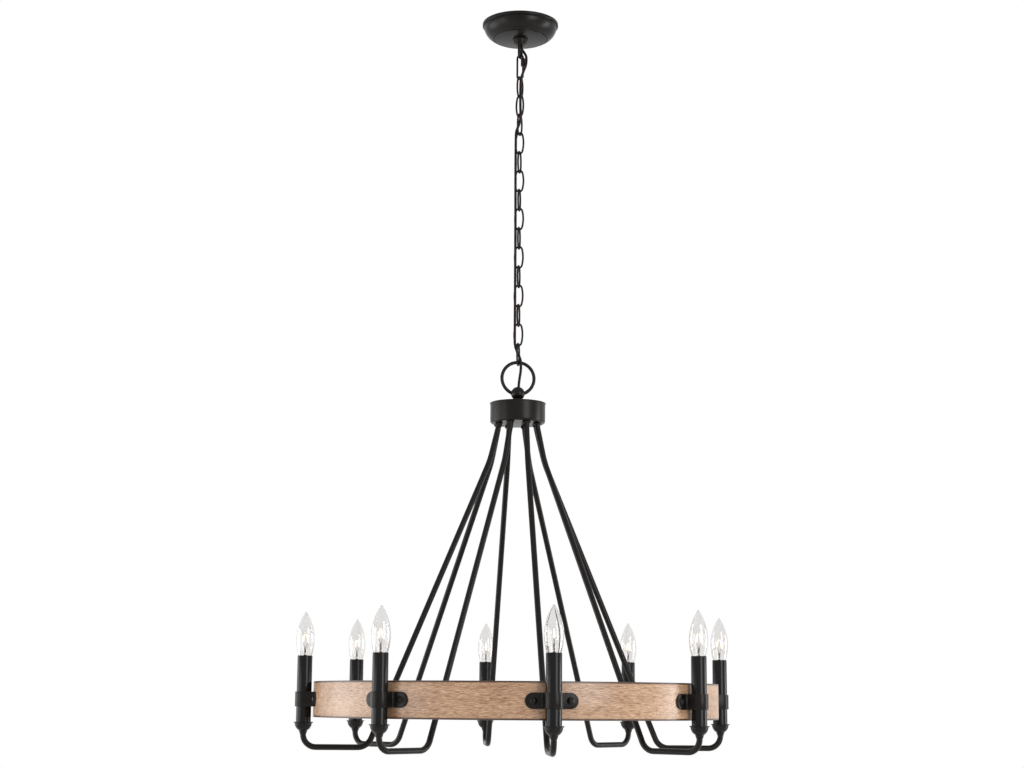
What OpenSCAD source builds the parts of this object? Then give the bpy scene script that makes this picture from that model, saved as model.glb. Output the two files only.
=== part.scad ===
// Wagon wheel chandelier: a wooden band ring with eight candle lights on bent
// tube arms, hung by a ring, a chain and a quick link from a ceiling canopy.
// Millimetres, +Z up. The origin is the centre of the ceiling plate, in the
// plane of the ceiling, so the whole object hangs below z = 0.

/* [Canopy] */
// Radius of the canopy's rim on the ceiling
canopy_r = 70; // [68:1:80]
// Depth of the canopy from the ceiling to its flat disc
canopy_depth = 29; // [28:0.5:32]
// Thickness of the spun sheet
canopy_wall = 1.2; // [1:0.1:1.5]

/* [Chain] */
// Diameter of the wire of a chain link
link_wire = 3.5; // [3:0.1:3.6]
// Width over a chain link
link_w = 19; // [18.5:0.5:21]
// Height that one link adds to the chain
link_pitch = 35.8; // [35:0.1:38]
// Wire diameter of the quick link
quick_wire = 3.6; // [3:0.1:3.8]
// Length over the quick link
quick_len = 50; // [48:1:54]
// Diameter of the supply cord
cord_d = 4.8; // [4:0.1:5]

/* [Hanging ring] */
// Radius of the hanging ring to the middle of its wire
hanger_r = 29; // [28:0.5:32]
// Wire diameter of the hanging ring
hanger_wire = 6; // [5:0.5:6]
// Radius of the ball that the ring passes through
ball_r = 12.4; // [12:0.1:13]

/* [Hub] */
// Outer radius of the hub drum
hub_r = 49; // [47:1:54]
// Height of the hub drum
hub_h = 37; // [34:1:44]
// How far out from the hub's middle each arm enters it
arm_root_x = 35.5; // [34:0.5:36]
// How far to the side of the hub's middle each arm enters it
arm_root_y = 10; // [7:0.5:11]

/* [Arms] */
// Outer diameter of the arm tube
arm_d = 10; // [9:0.5:10]
// Wall of the arm tube
arm_wall = 1; // [0.8:0.1:1.5]
// Lean of the long straight from upright, in degrees
arm_lean = 22.5; // [20:0.5:24]
// Depth of the arms' lowest centreline under the hub
arm_drop = 565; // [540:5:600]

/* [Wood ring] */
// Outer radius of the wooden band
band_r = 349; // [345:1:350]
// Height of the wooden band
band_h = 60; // [50:1:70]
// Thickness of the wooden band
band_t = 8; // [6:0.5:10]

/* [Candles] */
// Radius of the circle on which the candles stand
candle_r = 365; // [365:1:368]
// Outer diameter of the candle sleeve
sleeve_d = 25.4; // [24:0.1:25.4]
// Height of the sleeve above the rim of its cup
sleeve_rise = 111; // [100:1:125]
// Largest radius of the bulb's glass
bulb_r = 15.8; // [15:0.1:17]

/* [Hidden] */
lights = 8;
links = 15;
$fn = 64;
e = 0.01;

function pad2(i) = str(i < 10 ? "0" : "", i);

steel_black = "#2e2b29";
zinc = "#b9bcbd";
brass = "#b58f4a";
oak = "#c8a789";

// Bent tube and wire are drawn a touch thinner in their bends, and the pieces
// between the bends lap over them
bend_thin = 0.1;
bend_lap = 0.05;

// Ceiling hardware
bar_len = 106;
bar_w = 22;
bar_t = 2;
box_slot_spacing = 79.4;
box_slot_len = 14;
box_slot_w = 4.6;
pipe_r = 4.9;
pipe_bore = 3.2;
pipe_fit = 0.1;
nut_t = 3.5;
loop_body_r = 10;
loop_body_top = -18;
loop_body_end = -40;
loop_wire = 5.2;
loop_r = 7.2;
loop_end = -66.6;
collar_r = 14.2;
collar_h = 8;

// Turn of the loop, the quick link and the chain about the vertical: the
// chain hangs with a slight twist in its upper links
touch = 0.3;
loop_yaw = 63;
quick_yaw = -34;
twist_top = 41;
twist_end = 66;
twist_links = 5;
function link_yaw(i) = (i % 2 == 1 ? 0 : -90)
    + twist_top + (twist_end - twist_top) * min(1, (i - 1) / twist_links);

// Heights down the chain
quick_w = 15;
quick_top = loop_end + loop_wire + touch + quick_wire;
quick_end = quick_top - quick_len;
link_len = link_pitch + 2 * link_wire + touch;
function link_top(i) = quick_end + quick_wire + touch + link_wire - link_pitch * (i - 1);
chain_end = link_top(links) - link_len;
hanger_top = chain_end + link_wire + touch + hanger_wire;
hanger_z = hanger_top - hanger_wire / 2 - hanger_r;

// Ball and hub
ball_z = hanger_z - hanger_r + 1.3;
ball_hole_r = 4.7;
cord_hole_y = -5.8;
hub_top = ball_z - ball_r - 5.1;
hub_end = hub_top - hub_h;
hub_wall = 1.5;
lid_h = 6;
stem_r = 6.5;
stem_bore = 4;
stem_end = hub_top - 11;
nut_across = 12.5;
cup_nut_across = 12;

// Arms, cups, candles and the wooden band
root_lean = 13.7;
bend_root_r = 30;
bend_top_r = 175;
bend_low_r = 25;
bend_cup_r = 22;
arm_top = hub_end + 7;
bend_root_z = hub_end - 6;
bend_top_z = hub_end - 68.8;
arm_low = hub_end - arm_drop;
cup_rim = arm_low + 42;
cup_r = 14.5;
cup_lip_r = 16.5;
cup_wall = 1.2;
cup_lip_t = 1.8;
cup_base = cup_rim - 15.5;
arm_end = cup_base + 8;
sleeve_wall = 1;
sleeve_base = cup_rim - 4.6;
sleeve_top = cup_rim + sleeve_rise;
band_base = cup_rim + 8;
band_mid = band_base + band_h / 2;
strap_t = 2;
strap_h = 25;
strap_w = 84;
strap_gap = 0.4;
strap_screw_x = 29;
screw_r = 2;
socket_r = 9.5;
socket_h = 38;
socket_bore = 6.4;
bulb_neck_r = 8;
bulb_base_r = 6.1;
bulb_peak = 47;
bulb_belly = 36;
glass_wall = 0.8;
base_len = 22;
bulb_tip = sleeve_top + 74;

// ---------------------------------------------------------------- helpers

module hex_nut(across, h, bore) {
    difference() {
        cylinder(d = across / cos(30), h = h, $fn = 6);
        translate([0, 0, -e]) cylinder(r = bore, h = h + 2 * e);
    }
}

// One piece of a ring of wire: from angle a0 through sweep, in the XZ plane
module wire_arc(r, wire, a0, sweep) {
    rotate([90, 0, 0])
        rotate([0, 0, a0])
            rotate_extrude(angle = sweep) translate([r, 0]) circle(d = wire);
}

function arc_points(centre, r, a0, a1, steps = 20) =
    [for (k = [0:steps]) let (a = a0 + (a1 - a0) * k / steps) centre + r * [cos(a), sin(a)]];

// The first light stands at -Y, the others follow it round by way of +X
function light_angle(i) = (i - 1) * 360 / lights - 90;

module around_lights() {
    for (i = [1:lights]) rotate([0, 0, light_angle(i)]) children();
}

// ------------------------------------------------------- ceiling hardware

module mounting_crossbar() {
    color(zinc) translate([0, 0, -bar_t]) linear_extrude(bar_t) difference() {
        intersection() {
            square([bar_len, bar_w], center = true);
            circle(d = bar_len);
        }
        circle(r = pipe_r + pipe_fit);
        translate([bar_len / 5, bar_w / 4]) circle(r = screw_r);
        for (s = [-1, 1]) translate([s * box_slot_spacing / 2, 0]) {
            square([box_slot_len - box_slot_w, box_slot_w], center = true);
            for (t = [-1, 1])
                translate([t * (box_slot_len - box_slot_w) / 2, 0]) circle(d = box_slot_w);
        }
    }
}

// Hex washer head screw for the earth wire, threaded into the crossbar
module ground_screw() {
    color("#3f8a4d") translate([bar_len / 5, bar_w / 4, -bar_t]) {
        translate([0, 0, -0.8]) cylinder(r = 4.2, h = 0.8);
        translate([0, 0, -3.6]) cylinder(d = 7, h = 2.8, $fn = 6);
        translate([0, 0, -e]) cylinder(r = screw_r - 0.05, h = bar_t - 0.2);
    }
}

module threaded_nipple() {
    color(zinc) translate([0, 0, loop_body_top - 8]) difference() {
        cylinder(r = pipe_r, h = -loop_body_top + 7.5);
        translate([0, 0, -1]) cylinder(r = pipe_bore, h = -loop_body_top + 10);
    }
}

// One nut under the crossbar and one against the loop's body
module nipple_locknuts() {
    color(zinc) {
        translate([0, 0, -bar_t - nut_t]) hex_nut(16, nut_t, pipe_r + pipe_fit / 2);
        translate([0, 0, loop_body_top]) hex_nut(16, nut_t, pipe_r + pipe_fit / 2);
    }
}

// Threaded body with a wire way down its middle, and the stirrup under it
module canopy_loop() {
    leg_end = loop_end + loop_r + loop_wire / 2;
    color(steel_black) {
        difference() {
            translate([0, 0, loop_body_end])
                cylinder(r = loop_body_r, h = loop_body_top - loop_body_end);
            translate([0, 0, loop_body_end - 1])
                cylinder(r = pipe_bore, h = loop_body_top - loop_body_end + 2);
            translate([0, 0, loop_body_top - 8.5]) cylinder(r = pipe_r + pipe_fit / 2, h = 9);
        }
        rotate([0, 0, loop_yaw]) {
            for (s = [-1, 1]) translate([s * loop_r, 0, leg_end - bend_lap])
                cylinder(d = loop_wire, h = loop_body_end - leg_end + 2);
            translate([0, 0, leg_end]) wire_arc(loop_r, loop_wire - bend_thin, 180, 180);
        }
    }
}

// Spun sheet: a round lip on the ceiling, a fine crease, a bowl and, a small
// step below it, a flat disc with the hole for the loop
module canopy() {
    bowl_r = 27.1;
    bowl = [canopy_r - 29.5, 26.6 - canopy_depth];
    hole_r = loop_body_r + 0.6;
    disc_r = canopy_r - 21.6;
    disc_in = -canopy_depth + canopy_wall;
    lip_h = 4.4;
    step = 1.6;
    color(steel_black) rotate_extrude($fn = 96) polygon(concat(
        [[hole_r, -canopy_depth], [disc_r, -canopy_depth],
         [disc_r + canopy_wall / 3, step - canopy_depth]],
        arc_points(bowl, bowl_r, -69.5, -8),
        [[canopy_r, -lip_h], [canopy_r, 0], [canopy_r - canopy_wall, 0],
         [canopy_r - canopy_wall, canopy_wall / 2 - lip_h]],
        arc_points(bowl, bowl_r - canopy_wall, -6.5, -69.5),
        [[disc_r - canopy_wall / 2, disc_in + step], [disc_r - canopy_wall, disc_in],
         [hole_r, disc_in]]));
}

// Ring nut with a round flange that tapers down to the loop
module canopy_collar() {
    top = -canopy_depth;
    color(steel_black) rotate_extrude() difference() {
        polygon([
            [0, top], [collar_r, top], [collar_r, top - 1.6], [collar_r - 1.2, top - 2.6],
            [loop_body_r + 2.2, top - collar_h], [0, top - collar_h]]);
        translate([0, top - collar_h - 1]) square([loop_body_r + touch, collar_h + 2]);
    }
}

// ------------------------------------------------------------------ chain

// Straight-sided link, open on one leg, where the sleeve nut closes it
module quick_link() {
    r = (quick_w - quick_wire) / 2;
    high = quick_top - quick_w / 2;
    low = quick_end + quick_w / 2;
    gap_top = high - 5;
    gap_low = gap_top - 8;
    color(steel_black) rotate([0, 0, quick_yaw]) {
        translate([0, 0, high]) wire_arc(r, quick_wire, 0, 180);
        translate([0, 0, low]) wire_arc(r, quick_wire, 180, 180);
        translate([-r, 0, low]) cylinder(d = quick_wire, h = high - low);
        translate([r, 0, gap_top]) cylinder(d = quick_wire, h = high - gap_top);
        translate([r, 0, low]) cylinder(d = quick_wire, h = gap_low - low);
    }
}

module quick_link_nut() {
    r = (quick_w - quick_wire) / 2;
    nut_h = 16;
    color(steel_black) rotate([0, 0, quick_yaw])
        translate([r, 0, quick_top - quick_w / 2 - nut_h - 1])
            hex_nut(6.6, nut_h, quick_wire / 2 + 0.1);
}

// Oval link of four arcs: two tight ends and two long curved sides, which lap a
// hair over the thinner ends
module chain_link(i) {
    a = (link_w - link_wire) / 2;
    b = (link_len - link_wire) / 2;
    end_r = 6;
    end_z = b - end_r;
    side_r = (a * a + end_z * end_z - end_r * end_r) / (2 * (a - end_r));
    half = asin(end_z / (side_r - end_r));
    sweep = 2 * half + 2 * bend_lap / side_r * 180 / PI;
    color(steel_black) translate([0, 0, link_top(i) - link_len / 2])
        rotate([0, 0, link_yaw(i)])
            for (turn = [0, 180]) rotate([0, turn, 0]) {
                translate([0, 0, end_z])
                    wire_arc(end_r, link_wire - bend_thin, half, 180 - 2 * half);
                translate([a - side_r, 0, 0]) wire_arc(side_r, link_wire, -sweep / 2, sweep);
            }
}

// ------------------------------------------------------------------- cord

// The cord leaves the loop's wire way, passes before the quick link and the
// first two links, goes through the third link to the left of the chain,
// and comes back through the last link, before the ring, into the ball.
cord_route = [
    [0, 0, -36], [0.2, -0.1, -41], [1.3, -0.8, -45], [3.7, -2.2, -50], [6.9, -4.3, -56],
    [9.8, -6.9, -63], [10.3, -8.1, -71], [9.4, -8.9, -80], [7, -9.1, -88],
    [4, -8.3, -96], [1.6, -7.3, -104], [0.2, -6.8, -113], [-0.2, -6.7, -126],
    [-0.2, -6.7, -140], [-0.2, -6.7, -154], [0.1, -6.8, -168], [0.3, -6.8, -176.5],
    [0.2, -4.9, -184], [-0.8, -2.7, -190], [-2.4, -1.3, -196], [-4.7, -0.9, -201.5],
    [-6.6, -1.1, -208.5], [-7.2, -1.4, -219], [-7.4, -1.7, -240], [-7.5, -2, -266],
    [-7.5, -2.3, -298], [-7.3, -2.5, -334], [-7.1, -2.6, -370], [-7, -2.6, -406],
    [-6.9, -2.6, -442], [-6.9, -2.6, -478], [-6.8, -2.6, -514], [-6.8, -2.6, -550],
    [-6.8, -2.6, -582], [-6.7, -2.6, -599], [-6.1, -2.5, -607], [-4, -1.9, -614],
    [-1.2, -2.3, -621], [1.7, -3.8, -628], [3.5, -5.7, -635], [4.1, -6.6, -644],
    [3.6, -6.8, -655], [1.8, -6.3, -668], [0.5, -5.9, -680], [0, -5.8, -690]];
cord_sides = 10;

function unit(v) = v / norm(v);
function cord_dir(p, i) = unit(p[min(i + 1, len(p) - 1)] - p[max(i - 1, 0)]);
// Two steps between route points by a smooth curve through its neighbours
function between(a, b, c, d) = (-a + 9 * b + 9 * c - d) / 16;
function smooth(p) = [
    for (i = [0:len(p) - 2], half = [0, 1])
        half == 0 ? p[i]
            : between(p[max(i - 1, 0)], p[i], p[i + 1], p[min(i + 2, len(p) - 1)])];

module tube_along(path, d, sides) {
    n = len(path);
    rings = [for (i = [0:n - 1], j = [0:sides - 1])
        let (t = cord_dir(path, i),
             u = unit(cross([0, 1, 0], t)),
             v = cross(t, u),
             a = 360 * j / sides)
        path[i] + d / 2 * (cos(a) * u + sin(a) * v)];
    skin = [for (i = [0:n - 2], j = [0:sides - 1], half = [0, 1])
        let (a = i * sides + j, b = i * sides + (j + 1) % sides)
        half == 0 ? [a, a + sides, b + sides] : [a, b + sides, b]];
    foot = [for (j = [1:sides - 2]) [0, j, j + 1]];
    head = [for (j = [1:sides - 2]) [(n - 1) * sides, (n - 1) * sides + j + 1, (n - 1) * sides + j]];
    polyhedron(rings, concat(skin, foot, head));
}

module cord() {
    color("#2c1d18") tube_along(concat(smooth(cord_route), [cord_route[len(cord_route) - 1]]),
        cord_d, cord_sides);
}

// ------------------------------------------------- hanging ring, ball, hub

module hanging_ring() {
    color(steel_black) translate([0, 0, hanger_z]) rotate([90, 0, 0])
        rotate_extrude($fn = 96) translate([hanger_r, 0]) circle(d = hanger_wire);
}

// Ball with a cross hole for the ring, a wire way, a flared neck and a stem
module ring_ball() {
    color(steel_black) difference() {
        union() {
            translate([0, 0, ball_z]) sphere(r = ball_r);
            translate([0, 0, hub_top]) cylinder(r1 = 11.5, r2 = 8.6, h = 4);
            translate([0, 0, hub_top + 4 - e]) cylinder(r1 = 8.6, r2 = 9.6, h = 5);
            translate([0, 0, stem_end]) cylinder(r = stem_r, h = hub_top - stem_end + 1);
        }
        translate([0, 0, ball_z]) rotate([0, 90, 0])
            cylinder(r = ball_hole_r, h = 4 * ball_r, center = true);
        translate([0, cord_hole_y, ball_z - 8]) cylinder(r = cord_d / 2 + 0.5, h = 30);
        translate([0, 0, stem_end - 1]) cylinder(r = stem_bore, h = ball_z - 6 - stem_end + 1);
    }
}

module hub_lid() {
    r = hub_r + 1.1;
    color(steel_black) rotate_extrude($fn = 96) difference() {
        union() {
            translate([0, hub_top - 1.5]) square([r - 1.5, 1.5]);
            translate([r - 1.5, hub_top - 1.5]) circle(r = 1.5);
            translate([hub_r - 4, hub_top - lid_h]) square([r - hub_r + 4, lid_h - 1.5]);
        }
        translate([-e, hub_top - lid_h - 1]) square([hub_r + 0.1, lid_h - 0.2]);
        translate([-e, hub_top - 4]) square([stem_r + 0.1, 8]);
    }
}

// Drum with a rounded lower corner and a flat floor that the arms pass through
module hub_pan() {
    corner = 5;
    top = hub_top - 1.3;
    color(steel_black) difference() {
        rotate_extrude($fn = 96) difference() {
            union() {
                translate([0, hub_end + corner]) square([hub_r, top - hub_end - corner]);
                translate([0, hub_end]) square([hub_r - corner, corner + e]);
                translate([hub_r - corner, hub_end + corner]) circle(r = corner);
            }
            translate([-e, hub_end + corner])
                square([hub_r - hub_wall + e, hub_h]);
            translate([-e, hub_end + hub_wall])
                square([hub_r - corner + e, corner]);
            translate([hub_r - corner, hub_end + corner]) circle(r = corner - hub_wall);
        }
        around_lights() translate([arm_root_x, arm_root_y, hub_end - 1])
            cylinder(d = arm_d + 0.2, h = 6);
    }
}

module hub_nut() {
    color(zinc) translate([0, 0, hub_top - 1.5 - 5]) hex_nut(20, 5, stem_r + 0.05);
}

// Two twist-on caps that join the cord to the arms' wires inside the hub
module wire_connectors() {
    color("#c9772b") for (s = [-1, 1]) translate([-17, s * 9, hub_end + hub_wall]) {
        cylinder(r = 6, h = 9);
        translate([0, 0, 9]) cylinder(r1 = 6, r2 = 4.2, h = 11);
    }
}

// ------------------------------------------------------------------- arms

// A straight tube along +Z, with what follows at its end. It laps a hair over
// the bends next to it, which are slightly thinner, as bent tube is.
module run(len) {
    translate([0, 0, -bend_lap]) linear_extrude(len + 2 * bend_lap) difference() {
        circle(d = arm_d);
        circle(d = arm_d - 2 * arm_wall);
    }
    translate([0, 0, len]) children();
}

// A bend of tube from +Z towards +X, with what follows at its end
module bend(r, angle) {
    translate([r, 0, 0]) {
        rotate([90, 0, 0]) rotate([0, 0, 180 - angle])
            rotate_extrude(angle = angle) translate([r, 0]) difference() {
                circle(d = arm_d - bend_thin);
                circle(d = arm_d - 2 * arm_wall + bend_thin);
            }
        rotate([0, angle, 0]) translate([-r, 0, 0]) children();
    }
}

// The tube turns about its own line before its next bend
module roll(angle) {
    rotate([0, 0, angle]) children();
}

// Down out of the hub and past its middle to one side, out and down inside the
// band, level and back to the candle's line, and up to the cup
module arm(i) {
    top_bend = arm_lean - root_lean;
    turn_root = bend_root_r * tan(root_lean / 2);
    turn_top = bend_top_r * tan(top_bend / 2);
    upper = (bend_root_z - bend_top_z) / cos(root_lean);
    slant = (bend_top_z - arm_low) / cos(arm_lean);
    low_x = arm_root_x + upper * sin(root_lean) + slant * sin(arm_lean);
    back = atan(arm_root_y / (candle_r - low_x));
    low_bend = acos(sin(arm_lean) * cos(back));
    turn_low = bend_low_r * tan(low_bend / 2);
    color(steel_black) rotate([0, 0, light_angle(i)])
        translate([arm_root_x, arm_root_y, arm_top]) mirror([0, 0, 1])
            run(arm_top - bend_root_z - turn_root) bend(bend_root_r, root_lean)
            run(upper - turn_root - turn_top) bend(bend_top_r, top_bend)
            run(slant - turn_top - turn_low)
            roll(-atan(tan(back) / cos(arm_lean))) bend(bend_low_r, low_bend)
            roll(atan(tan(arm_lean) * sin(back)))
            run((candle_r - low_x) / cos(back) - turn_low - bend_cup_r) bend(bend_cup_r, 90)
            run(arm_end - arm_low - bend_cup_r);
}

// Lock nuts under and over the hub's floor and inside each cup
module arm_nuts() {
    color(steel_black) around_lights() {
        for (z = [hub_end - nut_t, hub_end + hub_wall])
            translate([arm_root_x, arm_root_y, z]) hex_nut(nut_across, nut_t, arm_d / 2 + 0.05);
        translate([candle_r, 0, cup_base + 3.5]) hex_nut(cup_nut_across, nut_t, arm_d / 2 + 0.05);
    }
}

// -------------------------------------------------------- band and candles

// Bent wooden band with eased edges and a pilot hole for each strap screw
module wood_ring() {
    ease = 1;
    inner = band_r - band_t;
    color(oak) difference() {
        translate([0, 0, band_base]) rotate_extrude($fn = 180) polygon([
            [inner + ease, 0], [band_r - ease, 0], [band_r, ease], [band_r, band_h - ease],
            [band_r - ease, band_h], [inner + ease, band_h], [inner, band_h - ease],
            [inner, ease]]);
        around_lights() for (s = [-1, 1])
            translate([0, s * strap_screw_x, band_mid]) rotate([0, 90, 0])
                cylinder(r = screw_r + 0.05, h = 2 * band_r, $fn = 24);
    }
}

// Strap round a sleeve, with a rounded tab on each side that lies on the band
module sleeve_strap() {
    in_r = sleeve_d / 2 + strap_gap;
    out_r = in_r + strap_t;
    skin = band_r + 0.05;
    translate([0, 0, band_mid]) difference() {
        union() {
            intersection() {
                difference() {
                    cylinder(r = skin + strap_t, h = strap_h, center = true, $fn = 180);
                    cylinder(r = skin, h = strap_h + 2, center = true, $fn = 180);
                }
                rotate([0, 90, 0]) linear_extrude(2 * band_r) union() {
                    square([strap_h, strap_w - strap_h], center = true);
                    for (s = [-1, 1])
                        translate([0, s * (strap_w - strap_h) / 2]) circle(d = strap_h);
                }
            }
            linear_extrude(strap_h, center = true) difference() {
                union() {
                    translate([candle_r, 0]) circle(r = out_r);
                    translate([skin, -out_r]) square([candle_r - skin, 2 * out_r]);
                    translate([skin, -out_r - 2]) square([strap_t + 2, 2 * out_r + 4]);
                }
                for (s = [-1, 1])
                    translate([skin + strap_t + 2, s * (out_r + 2)]) circle(r = 2, $fn = 32);
            }
        }
        linear_extrude(strap_h + 2, center = true) {
            translate([candle_r, 0]) circle(r = in_r);
            translate([skin - 10, -in_r]) square([candle_r - skin + 10, 2 * in_r]);
        }
        cylinder(r = skin, h = strap_h + 4, center = true, $fn = 180);
        for (s = [-1, 1]) translate([band_r - 10, s * strap_screw_x, 0])
            rotate([0, 90, 0]) cylinder(r = screw_r + 0.3, h = 30);
    }
}

module sleeve_straps() {
    color(steel_black) around_lights() sleeve_strap();
}

// Wood screws with wide domed heads, through the tabs into the band
module strap_screws() {
    head_r = 6;
    dome = 3.2;
    cap_r = (head_r * head_r + dome * dome) / (2 * dome);
    seat = sqrt(pow(band_r + strap_t + 0.1, 2) - pow(strap_screw_x - head_r, 2));
    color(steel_black) around_lights() for (s = [-1, 1])
        translate([seat, s * strap_screw_x, band_mid]) rotate([0, 90, 0]) {
            intersection() {
                translate([0, 0, dome - cap_r]) sphere(r = cap_r);
                cylinder(r = head_r, h = dome + 1);
            }
            translate([0, 0, -strap_t - band_t + 1]) cylinder(r = screw_r, h = strap_t + band_t, $fn = 24);
        }
}

// Spun cup with a flat lip, a collar and a short taper down to the arm
module candle_cups() {
    drop = cup_rim - cup_lip_t / 2;
    color(steel_black) around_lights() translate([candle_r, 0, 0])
        rotate_extrude() difference() {
            union() {
                intersection() {
                    translate([0, drop]) circle(r = cup_r);
                    translate([0, drop - 20]) square([20, 20]);
                }
                translate([0, cup_rim - cup_lip_t]) square([cup_lip_r, cup_lip_t]);
                translate([0, cup_base - 1.5]) square([6.8, 3]);
                polygon([[0, cup_base - 1.4], [6.4, cup_base - 1.4], [5.6, cup_base - 4.5],
                         [0, cup_base - 4.5]]);
            }
            intersection() {
                translate([0, drop]) circle(r = cup_r - cup_wall);
                translate([0, cup_base + 2]) square([20, 20]);
            }
            translate([0, cup_rim - cup_lip_t - 1]) square([cup_r - cup_wall, 5]);
            translate([-e, cup_base - 10]) square([arm_d / 2 + 0.05, 20]);
        }
}

module candle_sleeves() {
    color(steel_black) around_lights() translate([candle_r, 0, sleeve_base])
        linear_extrude(sleeve_top - sleeve_base) difference() {
            circle(d = sleeve_d);
            circle(d = sleeve_d - 2 * sleeve_wall);
        }
}

// Candelabra socket on a stem that screws into the arm's end. The bulb's base
// fills its bore, and the glass stays above it.
module lamp_sockets() {
    neck_z = bulb_tip - bulb_peak - bulb_belly;
    top = neck_z - 2.2;
    color("#d9d4c6") around_lights() translate([candle_r, 0, 0]) {
        difference() {
            translate([0, 0, top - socket_h]) cylinder(r = socket_r, h = socket_h);
            translate([0, 0, neck_z - base_len - 0.3]) cylinder(r = socket_bore, h = base_len);
        }
        translate([0, 0, arm_end - 4]) cylinder(r = 3.8, h = top - socket_h - arm_end + 4 + e);
    }
}

// ------------------------------------------------------------------ bulbs

// Radius of the glass at a depth below the tip
function glass_r(d) = d <= bulb_peak
    ? bulb_r * pow(sin(90 * d / bulb_peak), 0.75)
    : bulb_r * cos(acos(bulb_neck_r / bulb_r) * (d - bulb_peak) / bulb_belly);
function glass_edge(shrink) = [
    for (k = [0:18]) let (d = k < 11 ? bulb_peak * k / 11 : bulb_peak + bulb_belly * (k - 11) / 7)
        [max(0, glass_r(d) - shrink), -d - (k == 0 ? shrink : 0)]];

// Torpedo bulb: thin glass, a glass stem, a round filament on two wires, and a
// screw base
module bulb(i) {
    neck_z = -bulb_peak - bulb_belly;
    stem_h = 26;
    stem_top_r = 1.6;
    coil_r = 4;
    coil_z = 32;
    wire_out = coil_r - stem_top_r + 0.5;
    wire_up = coil_z - stem_h + 1;
    rotate([0, 0, light_angle(i)]) translate([candle_r, 0, bulb_tip]) {
        color("white", 0.35) rotate_extrude() difference() {
            polygon(concat(glass_edge(0), [[0, neck_z]]));
            polygon(concat(glass_edge(glass_wall), [[0, neck_z - 1]]));
            translate([0, neck_z - 1]) square([bulb_neck_r - glass_wall, 2]);
        }
        color("white", 0.35) translate([0, 0, neck_z]) cylinder(r1 = 3.2, r2 = stem_top_r, h = stem_h);
        color("orange") {
            translate([0, 0, neck_z + coil_z]) rotate_extrude() translate([coil_r, 0])
                circle(r = 0.4, $fn = 16);
            for (s = [-1, 1]) translate([s * (stem_top_r - 0.5), 0, neck_z + stem_h - 1])
                rotate([0, s * atan(wire_out / wire_up), 0])
                    cylinder(r = 0.25, h = norm([wire_out, wire_up]), $fn = 16);
        }
        color(brass) translate([0, 0, neck_z - base_len]) {
            translate([0, 0, base_len - 2]) cylinder(r1 = bulb_base_r, r2 = bulb_neck_r, h = 2);
            translate([0, 0, 3]) cylinder(r = bulb_base_r, h = base_len - 5 + e);
            cylinder(r1 = 2.4, r2 = 4.5, h = 3 + e);
        }
    }
}

// ---------------------------------------------------------------- drawing

mounting_crossbar();
ground_screw();
threaded_nipple();
nipple_locknuts();
canopy_loop();
canopy();
canopy_collar();
quick_link();
quick_link_nut();
for (i = [1:links]) chain_link(i);
cord();
hanging_ring();
ring_ball();
hub_lid();
hub_pan();
hub_nut();
wire_connectors();
for (i = [1:lights]) arm(i);
arm_nuts();
wood_ring();
sleeve_straps();
strap_screws();
candle_cups();
candle_sleeves();
lamp_sockets();
for (i = [1:lights]) bulb(i);
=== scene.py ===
import math

import bpy
from mathutils import Matrix, Vector


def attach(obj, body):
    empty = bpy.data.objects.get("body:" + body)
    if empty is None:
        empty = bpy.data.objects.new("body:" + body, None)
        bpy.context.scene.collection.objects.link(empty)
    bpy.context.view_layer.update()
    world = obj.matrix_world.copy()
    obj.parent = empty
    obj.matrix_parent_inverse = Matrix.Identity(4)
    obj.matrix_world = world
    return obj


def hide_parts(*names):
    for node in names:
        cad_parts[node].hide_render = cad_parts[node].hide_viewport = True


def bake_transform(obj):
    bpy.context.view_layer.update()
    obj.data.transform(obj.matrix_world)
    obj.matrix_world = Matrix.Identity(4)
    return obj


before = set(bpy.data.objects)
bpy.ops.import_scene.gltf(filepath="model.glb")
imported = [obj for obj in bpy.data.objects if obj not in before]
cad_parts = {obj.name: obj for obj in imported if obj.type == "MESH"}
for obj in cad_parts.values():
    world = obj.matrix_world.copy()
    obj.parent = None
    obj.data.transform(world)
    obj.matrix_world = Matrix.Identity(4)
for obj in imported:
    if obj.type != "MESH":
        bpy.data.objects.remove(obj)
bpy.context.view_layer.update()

# ---------------------------------------------------------------- the view
# The lamp is seen from the height of its cups, 3.12 m away, looking up by ten
# degrees, with the first light nine degrees to the right of straight ahead.
turn = Matrix.Rotation(math.radians(-9.21), 3, "Z")
yaw, pitch, roll = math.radians(-0.195), math.radians(10.11), math.radians(0.431)
eye = Vector((0, -3.123, -1.2336))
picture_width, focal_length = 1024, 1774.5  # pixels
ahead = Vector((math.sin(yaw) * math.cos(pitch), math.cos(yaw) * math.cos(pitch), math.sin(pitch)))
level = Vector((math.cos(yaw), -math.sin(yaw), 0))
upward = level.cross(ahead)
right = turn @ (math.cos(roll) * level + math.sin(roll) * upward)
top = turn @ (math.cos(roll) * upward - math.sin(roll) * level)
camera = bpy.data.objects.new("view", bpy.data.cameras.new("view"))
bpy.context.scene.collection.objects.link(camera)
camera.data.sensor_width = 36
camera.data.lens = camera.data.sensor_width * focal_length / picture_width
camera.data.clip_end = 100
axes = Matrix((right, top, turn @ -ahead)).transposed()
camera.matrix_world = Matrix.Translation(turn @ eye) @ axes.to_4x4()
bpy.context.scene.camera = camera
bpy.context.scene.view_settings.view_transform = "Standard"

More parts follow.
